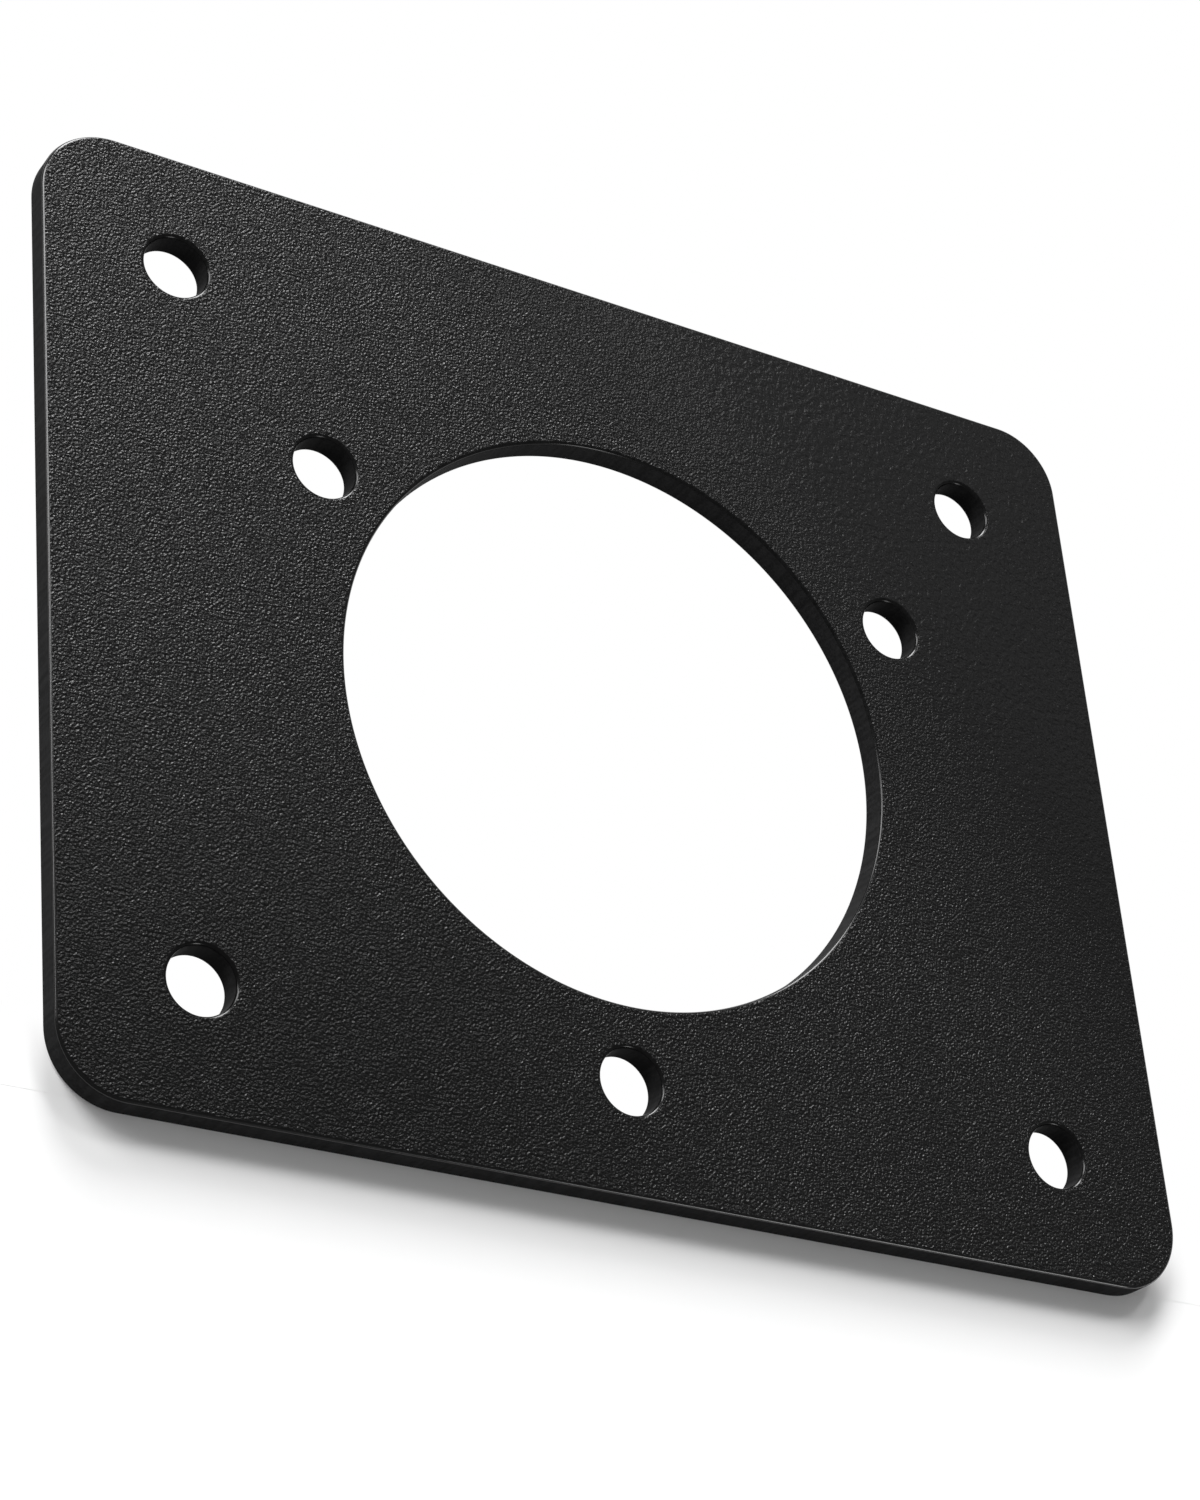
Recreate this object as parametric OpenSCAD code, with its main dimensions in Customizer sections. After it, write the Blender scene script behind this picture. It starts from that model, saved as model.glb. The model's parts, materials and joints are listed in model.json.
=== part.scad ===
/* [Plate] */
// Length of the two long edges, before their corners are rounded
plate_w = 100.4; // [92:0.1:140]
// Distance between the two long edges
plate_h = 82.4; // [80:0.1:120]
// Thickness of the coated sheet
plate_t = 2.5; // [1.2:0.1:6]
// How far the two short sides lean from square, in degrees
side_lean = 4.5; // [0:0.1:8]
// Radius of the four outer corners
corner_r = 6; // [2:0.5:9]
// Radius that softens every cut edge, front and back
edge_r = 0.35; // [0.1:0.05:0.5]

/* [Charger port] */
// Diameter of the opening that the charger port passes through
port_d = 50.8; // [38:0.1:54]
// Number of screws that hold the charger port
port_screws = 3; // [3:1:6]
// Distance from the edge of the port opening to the centres of its screw holes
port_screw_margin = 6.35; // [4.5:0.05:7]
// Diameter of the screw holes round the port
port_screw_d = 5.5; // [3:0.1:6.5]

/* [Corner holes] */
// Diameter of the four holes that fasten the plate
corner_hole_d = 5.5; // [3:0.1:7]
// Distance from a short side to a corner hole's centre, along the long edges
corner_hole_side = 11.5; // [8:0.5:13]
// Distance from a long edge to a corner hole's centre
corner_hole_edge = 10.5; // [8:0.5:13]

/* [Hidden] */
$fn = 96;

// Segments round an outer corner's disc, and round the small arc of its rim
disc_steps = 64;
rim_steps = 24;
// How far past both faces a cutter runs
cut_over = 1;
// First screw of the port, straight down from its centre
first_screw = 270;

// Sideways step of the leaning sides at a given height above the centre line
function lean(y) = -y * tan(side_lean);

// Centre of a corner's round, for the corner on the given side across and up
function corner_centre(across, up) =
    let (y = up * (plate_h / 2 - corner_r))
    [across * (plate_w / 2 - corner_r / cos(side_lean)) + lean(y), y];

// Centres of the four corner rounds, going round the plate
corner_centres = [
    corner_centre(1, 1),
    corner_centre(-1, 1),
    corner_centre(-1, -1),
    corner_centre(1, -1)
];

// Centre of a corner hole, measured in from the two sides that meet there
function corner_hole_centre(across, up) =
    let (y = up * (plate_h / 2 - corner_hole_edge))
    [across * (plate_w / 2 - corner_hole_side) + lean(y), y];

// Section of a corner's disc, from its centre out to the softened rim
module rim_section() {
    square([corner_r - edge_r, plate_t]);
    translate([0, edge_r]) square([corner_r, plate_t - 2 * edge_r]);
    for (height = [edge_r, plate_t - edge_r])
        translate([corner_r - edge_r, height]) circle(edge_r, $fn = rim_steps);
}

// The sheet before it is drilled: four round discs with the sheet stretched between them
module blank() {
    hull()
        for (centre = corner_centres)
            translate(centre)
                rotate_extrude($fn = disc_steps) rim_section();
}

// What is taken off one mouth of a hole to leave its rim rounded, seen in section
module mouth_flare() {
    difference() {
        square([edge_r, edge_r + cut_over]);
        translate([edge_r, 0]) circle(edge_r);
    }
}

// What a drill and a deburring tool take away for one hole
module hole_cutter(hole_d) {
    hole_r = hole_d / 2;
    rotate_extrude() {
        translate([0, -cut_over]) square([hole_r, plate_t + 2 * cut_over]);
        translate([hole_r, plate_t - edge_r]) mouth_flare();
        translate([hole_r, edge_r]) mirror([0, 1]) mouth_flare();
    }
}

// The flat plate with its port opening, three port screw holes and four corner holes
module adapter_plate() {
    color([0.15, 0.15, 0.15])
        difference() {
            blank();
            hole_cutter(port_d);
            for (i = [0 : port_screws - 1])
                rotate([0, 0, first_screw + i * 360 / port_screws])
                    translate([port_d / 2 + port_screw_margin, 0, 0])
                        hole_cutter(port_screw_d);
            for (across = [-1, 1], up = [-1, 1])
                translate(corner_hole_centre(across, up))
                    hole_cutter(corner_hole_d);
        }
}

adapter_plate();
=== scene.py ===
import json
import math

import bmesh
import bpy
from mathutils import Matrix, Vector


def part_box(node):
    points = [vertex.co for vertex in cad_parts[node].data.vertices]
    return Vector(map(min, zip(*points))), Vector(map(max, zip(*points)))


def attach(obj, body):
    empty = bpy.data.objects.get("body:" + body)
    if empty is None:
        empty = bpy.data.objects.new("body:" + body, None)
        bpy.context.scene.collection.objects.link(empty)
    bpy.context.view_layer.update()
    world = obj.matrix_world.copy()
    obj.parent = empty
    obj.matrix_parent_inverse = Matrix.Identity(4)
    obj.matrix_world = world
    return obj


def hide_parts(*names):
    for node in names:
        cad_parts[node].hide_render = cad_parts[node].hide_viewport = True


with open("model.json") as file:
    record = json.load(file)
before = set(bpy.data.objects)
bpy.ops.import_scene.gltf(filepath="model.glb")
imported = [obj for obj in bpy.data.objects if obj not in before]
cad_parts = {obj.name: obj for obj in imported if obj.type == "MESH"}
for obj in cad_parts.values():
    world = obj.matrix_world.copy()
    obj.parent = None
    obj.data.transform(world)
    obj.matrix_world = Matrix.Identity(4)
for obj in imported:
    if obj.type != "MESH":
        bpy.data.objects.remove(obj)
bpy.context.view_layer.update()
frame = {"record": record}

# Adapter plate
# One flat sheet of metal, cut to a leaning outline and drilled. Every cut edge is softened, and a
# fine-textured black powder coat covers all of it. Screws through the corner holes hold it in use.
# The sizes of the sheet and its holes come from the frame, and the rest are given here, in metres.
side_lean = math.radians(4.5)
corner_radius = 0.006
edge_radius = 0.00035
corner_steps = 28
port_steps = 288
hole_steps = 96
rim_steps = 8

plate_low, plate_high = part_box("adapter_plate")
plate_thickness = plate_high.z - plate_low.z
corner_up = plate_high.y - corner_radius
corner_across = plate_high.x - corner_radius - corner_up * math.tan(side_lean)
mounts = {mount["name"]: mount for mount in frame["record"]["mounts"]}
mm_in_metre = 1000

# The three coats, in the order in which the mesh has them
face_coat, rim_coat, wall_coat = range(3)


def arc(centre, radius, start, sweep, steps):
    """Points of an arc, each kept as its centre, its radius and the direction out of that centre."""
    turns = [start + sweep * step / steps for step in range(steps + 1)]
    return [(Vector(centre), radius, Vector((math.cos(turn), math.sin(turn)))) for turn in turns]


def outline():
    """The plate's edge, going round by its four corners."""
    quarter = math.pi / 2
    wide, narrow = quarter + side_lean, quarter - side_lean
    points = []
    for across, up, start, sweep in (
        (1, 1, side_lean, narrow),
        (-1, 1, quarter, wide),
        (-1, -1, math.pi + side_lean, narrow),
        (1, -1, 3 * quarter, wide),
    ):
        height = up * corner_up
        centre = (across * corner_across - height * math.tan(side_lean), height)
        points += arc(centre, corner_radius, start, sweep, corner_steps)
    return points


def hole(centre, radius, steps):
    """A round hole's wall: points like the outline's, but with the metal outside them."""
    return arc(centre, radius, 0, math.tau, steps)[:-1]


def holes():
    """The port opening, the screw holes round it, and the two rows of corner holes."""
    port, screws = mounts["port_hole"], mounts["port_screw_holes"]
    made = [hole(port["pos_m"][:2], port["dims"]["r_mm"] / mm_in_metre, port_steps)]
    straight_down = -math.pi / 2
    for screw in range(screws["dims"]["count"]):
        turn = straight_down + math.tau * screw / screws["dims"]["count"]
        reach = screws["dims"]["pcd_mm"] / 2 / mm_in_metre
        centre = Vector(screws["pos_m"][:2]) + reach * Vector((math.cos(turn), math.sin(turn)))
        made.append(hole(centre, screws["dims"]["hole_r_mm"] / mm_in_metre, hole_steps))
    for row in (mounts["corner_holes_top"], mounts["corner_holes_bottom"]):
        for side in (-1, 1):
            shift = Vector((side * row["dims"]["spacing_x_mm"] / 2 / mm_in_metre, 0))
            centre = Vector(row["pos_m"][:2]) + shift
            made.append(hole(centre, row["dims"]["hole_r_mm"] / mm_in_metre, hole_steps))
    return made


def edge_section():
    """The softened edge in section, front to back: how far in from the wall, how high, and its normal."""
    front = []
    for step in range(rim_steps + 1):
        turn = math.pi / 2 * step / rim_steps
        inward = edge_radius * (1 - math.sin(turn))
        height = plate_thickness - edge_radius * (1 - math.cos(turn))
        front.append((inward, height, math.sin(turn), math.cos(turn)))
    back = [(inward, plate_thickness - height, out, -up) for inward, height, out, up in reversed(front)]
    return front + back


def plate_mesh():
    """The plate as one closed skin: the edge of the outline and of each hole, and the two flat faces."""
    shape = bmesh.new()
    normals = []
    mouths = {"front": [], "back": []}
    for points, into_metal in [(outline(), -1)] + [(points, 1) for points in holes()]:
        rings = []
        for inward, height, out, up in edge_section():
            ring = []
            for centre, radius, direction in points:
                place = centre + direction * (radius + into_metal * inward)
                ring.append(shape.verts.new((place.x, place.y, plate_low.z + height)))
                away = direction * (-into_metal * out)
                normals.append(Vector((away.x, away.y, up)))
            rings.append(ring)
        for upper, lower in zip(rings, rings[1:]):
            for here in range(len(points)):
                after = (here + 1) % len(points)
                corners = [upper[here], lower[here], lower[after], upper[after]]
                face = shape.faces.new(corners if into_metal < 0 else corners[::-1])
                face.smooth = True
                face.material_index = rim_coat if into_metal < 0 else face_coat
        for name, ring in (("front", rings[0]), ("back", rings[-1])):
            mouths[name] += [shape.edges.get((ring[here], ring[here - 1])) for here in range(len(ring))]
    for name, facing in (("front", 1), ("back", -1)):
        filled = bmesh.ops.triangle_fill(
            shape, edges=mouths[name], use_beauty=True, use_dissolve=False, normal=(0, 0, facing)
        )
        for face in filled["geom"]:
            if isinstance(face, bmesh.types.BMFace):
                face.smooth = True
                if face.normal.z * facing < 0:
                    face.normal_flip()
    mesh = bpy.data.meshes.new("adapter_plate_coated")
    shape.to_mesh(mesh)
    shape.free()
    mesh.normals_split_custom_set_from_vertices([normal.normalized() for normal in normals])
    return mesh


class Wire:
    """An output of one of a material's nodes. Arithmetic on wires and numbers adds the Math nodes for it."""

    def __init__(self, tree, output=None):
        self.tree = tree
        self.output = output

    def node(self, kind, settings=None, inputs=None, output=0):
        """Adds a node: its settings first, then its sockets' values or links."""
        made = self.tree.nodes.new(kind)
        for name, value in (settings or {}).items():
            setattr(made, name, value)
        for name, value in (inputs or {}).items():
            if isinstance(value, Wire):
                value.into(made, name)
            else:
                made.inputs[name].default_value = value
        return Wire(self.tree, made.outputs[output])

    def into(self, node, socket):
        """Links this wire to a socket of a node."""
        self.tree.links.new(self.output, node.inputs[socket])

    def math(self, operation, *values):
        """A Math node on wires and numbers, in the order given."""
        return self.node("ShaderNodeMath", {"operation": operation}, dict(enumerate(values)))

    def __add__(self, other):
        return self.math("ADD", self, other)

    def __sub__(self, other):
        return self.math("SUBTRACT", self, other)

    def __rsub__(self, other):
        return self.math("SUBTRACT", other, self)

    def __mul__(self, other):
        return self.math("MULTIPLY", self, other)

    def __abs__(self):
        return self.math("ABSOLUTE", self)

    __radd__ = __add__
    __rmul__ = __mul__

    def larger(self, other):
        """The larger of two wires."""
        return self.math("MAXIMUM", self, other)

    def smooth(self, low, high):
        """0 below low and 1 above high, with a smooth rise between them."""
        inputs = {"Value": self, "From Min": low, "From Max": high}
        return self.node("ShaderNodeMapRange", {"interpolation_type": "SMOOTHSTEP"}, inputs)

    def vector(self, operation, other, output="Vector"):
        """A Vector Math node on this wire and another vector."""
        return self.node("ShaderNodeVectorMath", {"operation": operation}, {0: self, 1: other}, output)

    def along(self, axis):
        """A vector's part along X, Y or Z."""
        return self.node("ShaderNodeSeparateXYZ", None, {"Vector": self}, axis)

    def noise(self, scale):
        """Soft random lumps at a place, about this many to the metre, from 0 to 1."""
        return self.node("ShaderNodeTexNoise", None, {"Vector": self, "Scale": scale, "Detail": 1})

    def blend(self, low, high):
        """A colour that goes from low to high as this wire goes from 0 to 1."""
        inputs = {"Factor": self, "A": low, "B": high}
        return self.node("ShaderNodeMix", {"data_type": "RGBA"}, inputs, "Result")

    def bump(self):
        """The normal of a surface with this height, in metres."""
        return self.node("ShaderNodeBump", None, {"Strength": 1.0, "Distance": 1.0, "Height": self})


def new_coat(name):
    """A coat with nothing set yet: its material, its shader, and the wire that gives a point's place."""
    material = bpy.data.materials.new(name)
    material.use_nodes = True
    shader = material.node_tree.nodes["Principled BSDF"]
    place = Wire(material.node_tree).node("ShaderNodeTexCoord", output="Object")
    return material, shader, place


def powder_coat(name, edge_gloss):
    """Fine-textured black powder coat: small rounded grains fused in the oven, smooth over the edges."""
    material, shader, place = new_coat(name)
    grains_per_metre, swells_per_metre, clumps_per_metre = 4400, 1700, 600
    grain = place.noise(grains_per_metre)
    swells = place.noise(swells_per_metre)
    clumps = place.noise(clumps_per_metre)

    # 1 on the flat faces, falling to 0 round the softened edges
    facing = place.node("ShaderNodeNewGeometry", output="Normal")
    edge_to_face = (0.9, 0.995)
    flat = abs(facing.along("Z")).smooth(*edge_to_face)
    # How the coat flowed out: the grain is steeper to the right, weaker along the bottom edge's left half,
    # and all but lost towards the upper right corner, where only the wider swells are left. The same masks
    # also darken the base colour towards the lower left, as painted shade.
    left_to_right, bottom_to_middle, middle_to_corner = (-0.03, 0.02), (-0.04, 0.0), (0.01, 0.055)
    steeper = place.along("X").smooth(*left_to_right)
    fuller = place.along("Y").smooth(*bottom_to_middle)
    smoother = place.vector("DOT_PRODUCT", (1, 1, 0), "Value").smooth(*middle_to_corner)

    bottom_slope = 0.55 + 0.4 * clumps.smooth(0.3, 0.7)
    left_slope, right_slope = 1.15, 1.55
    slope = bottom_slope + (left_slope - bottom_slope) * fuller
    slope = slope + (right_slope - slope) * steeper
    grain_height, swell_height = 0.00013, 0.00006
    grain_lost, swells_kept = 0.86, 0.25
    height = (grain - 0.5) * grain_height * slope * (1 - grain_lost * smoother)
    height = height + (swells - 0.5) * swell_height * (swells_kept + (1 - swells_kept) * smoother)
    height = height * flat * (0.85 + 0.3 * clumps)
    height.bump().into(shader, "Normal")

    rim_roughness, face_roughness = 0.18, 0.28
    rough = rim_roughness + (face_roughness - rim_roughness) * flat + 0.02 * clumps
    rough.into(shader, "Roughness")

    # Base colour: the grain's tops take the coat's own black, and its hollows are painted near black as
    # painted shade falling into them. Towards the lower left the tops are painted darker too, as painted
    # shade.
    shaded_hollow_black, top_black = (0.001, 0.001, 0.001, 1), (0.0065, 0.0065, 0.0067, 1)
    lower_left_painted_shade = 0.8
    painted_lightness = grain.smooth(0.25, 0.75) * (1 - lower_left_painted_shade * (1 - fuller) * (1 - steeper))
    painted_lightness.blend(shaded_hollow_black, top_black).into(shader, "Base Color")

    if edge_gloss:
        (edge_gloss * (1 - flat)).into(shader, "Coat Weight")
        shader.inputs["Coat Roughness"].default_value = 0.12
    shader.inputs["Specular IOR Level"].default_value = 0.25
    return material


def cut_edge_coat():
    """The same coat where it lies thin and dull on the cut edges and in the holes, with the cut's streaks."""
    material, shader, place = new_coat("black_powder_coat_on_cut_edges")
    grains_per_metre, streaks_per_metre = 3600, 2600
    drawn_out = (1, 1, 0.08)
    grain = place.noise(grains_per_metre)
    streaks = place.vector("MULTIPLY", drawn_out).noise(streaks_per_metre)
    streak_height = 0.00002
    ((grain + streaks) * streak_height).bump().into(shader, "Normal")
    (0.5 + 0.2 * grain).into(shader, "Roughness")
    dark, light = (0.011, 0.011, 0.0112, 1), (0.021, 0.021, 0.0214, 1)
    ((grain + streaks) * 0.5).smooth(0.3, 0.7).blend(dark, light).into(shader, "Base Color")
    shader.inputs["Specular IOR Level"].default_value = 0.01
    return material


plate = bpy.data.objects.new("adapter_plate_coated", plate_mesh())
bpy.context.scene.collection.objects.link(plate)
plate.data.materials.append(powder_coat("black_powder_coat", edge_gloss=0.0))
plate.data.materials.append(powder_coat("black_powder_coat_on_the_rim", edge_gloss=0.32))
plate.data.materials.append(cut_edge_coat())
# A face that leans less than this from upright is part of a cut wall
upright_below = 0.3
for face in plate.data.polygons:
    if abs(face.normal.z) < upright_below:
        face.material_index = wall_coat
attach(plate, "root")
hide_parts("adapter_plate")

# Camera
# It looks down on the plate as it lies, from the photograph's side, distance and angle.
# It is turned by the same amount too, so the plate stands in the picture as it does in the photograph.
sensor_height = 36.0
focal_in_pixels = 3338.15
picture_height = 1500
camera_place = Vector((-0.125060, -0.128084, 0.205836 + plate_thickness))
camera_right = Vector((0.863226, -0.016476, 0.504549))
camera_forward = Vector((0.454263, 0.461310, -0.762127))
camera_data = bpy.data.cameras.new("camera")
camera_data.lens = focal_in_pixels / picture_height * sensor_height
camera_data.sensor_width = sensor_height
camera_data.clip_start = 0.01
camera = bpy.data.objects.new("camera", camera_data)
bpy.context.scene.collection.objects.link(camera)
camera_up = camera_right.cross(camera_forward).normalized()
turned = Matrix((camera_right, camera_up, -camera_forward)).transposed()
camera.matrix_world = Matrix.Translation(camera_place) @ turned.to_4x4()
bpy.context.scene.camera = camera

# Floor
# A wide sheet of matt white paper, which takes the plate's shadow.
# It lies a hair below the plate, so that their two faces don't share a height.
floor_reach = 3.0
floor_height = -0.00002


def white_paper(name):
    """Matt white paper."""
    material = bpy.data.materials.new(name)
    material.use_nodes = True
    shader = material.node_tree.nodes["Principled BSDF"]
    shader.inputs["Base Color"].default_value = (0.98, 0.98, 0.98, 1)
    shader.inputs["Specular IOR Level"].default_value = 0.0
    return material


def sheet(name, front, reach, height, material):
    """A flat sheet that runs from its front edge back to its reach, and as far to each side."""
    mesh = bpy.data.meshes.new(name)
    corners = ((-reach, front), (reach, front), (reach, reach), (-reach, reach))
    mesh.from_pydata([(x, y, height) for x, y in corners], [], [(0, 1, 2, 3)])
    mesh.materials.append(material)
    made = bpy.data.objects.new(name, mesh)
    bpy.context.scene.collection.objects.link(made)
    return made


floor = sheet("studio_floor", -floor_reach, floor_reach, floor_height, white_paper("white_paper"))

# Light panel
# A lit white panel let into the paper under the plate, so that the holes and the far side show pure white.
# It fades out before the plate's front edge, where the paper takes the plate's shadow.
panel_reach = 0.2
panel_front = -0.0405
panel_full_from = -0.0345
panel_height = -0.00001


def lit_white():
    """White paper that glows for the camera and in reflections, and lights nothing else."""
    material = white_paper("lit_white")
    nodes = material.node_tree.nodes
    start = Wire(material.node_tree)
    camera_ray, glossy_ray, clear_ray = [
        start.node("ShaderNodeLightPath", output=kind)
        for kind in ("Is Camera Ray", "Is Glossy Ray", "Is Transmission Ray")
    ]
    place = start.node("ShaderNodeTexCoord", output="Object")
    seen = camera_ray.larger(glossy_ray).larger(clear_ray)
    shown = seen * place.along("Y").smooth(panel_front, panel_full_from)
    paper = Wire(material.node_tree, nodes["Principled BSDF"].outputs[0])
    glow = start.node("ShaderNodeEmission", None, {"Color": (1, 1, 1, 1), "Strength": 1.0})
    mixed = start.node("ShaderNodeMixShader", None, {0: shown, 1: paper, 2: glow})
    mixed.into(nodes["Material Output"], "Surface")
    return material


panel = sheet("light_panel", panel_front, panel_reach, panel_height, lit_white())


# Studio light
# Round soft lights far off: wide ones behind the plate and to its left, and small ones that give the face its
# sheen. Two low ones catch the softened edges at the left and the front, and pale light comes from all round.
def softbox(name, azimuth, elevation, width, level):
    """A round soft light; level is the share of full white that it gives a sheet on the floor."""
    across, up = math.radians(azimuth), math.radians(elevation)
    lamp = bpy.data.lights.new(name, "SUN")
    lamp.angle = math.radians(width)
    lamp.energy = level * math.pi / math.sin(up)
    made = bpy.data.objects.new(name, lamp)
    bpy.context.scene.collection.objects.link(made)
    towards = Vector((math.sin(across) * math.cos(up), math.cos(across) * math.cos(up), math.sin(up)))
    made.rotation_mode = "QUATERNION"
    made.rotation_quaternion = towards.to_track_quat("Z", "Y")


softbox("low_back_softbox", azimuth=-1, elevation=20, width=24, level=0.30)
softbox("left_softbox", azimuth=-42, elevation=35, width=26, level=0.38)
softbox("sheen_softbox", azimuth=19, elevation=45, width=11, level=0.115)
softbox("right_softbox", azimuth=50, elevation=42, width=12, level=0.005)
softbox("left_strip", azimuth=-65, elevation=20, width=14, level=0.045)
softbox("front_strip", azimuth=142, elevation=20, width=17, level=0.052)

world = bpy.data.worlds.new("studio")
bpy.context.scene.world = world
world.use_nodes = True
background = world.node_tree.nodes["Background"]
background.inputs["Color"].default_value = (1, 1, 1, 1)
background.inputs["Strength"].default_value = 0.22
bpy.context.scene.view_settings.view_transform = "Standard"
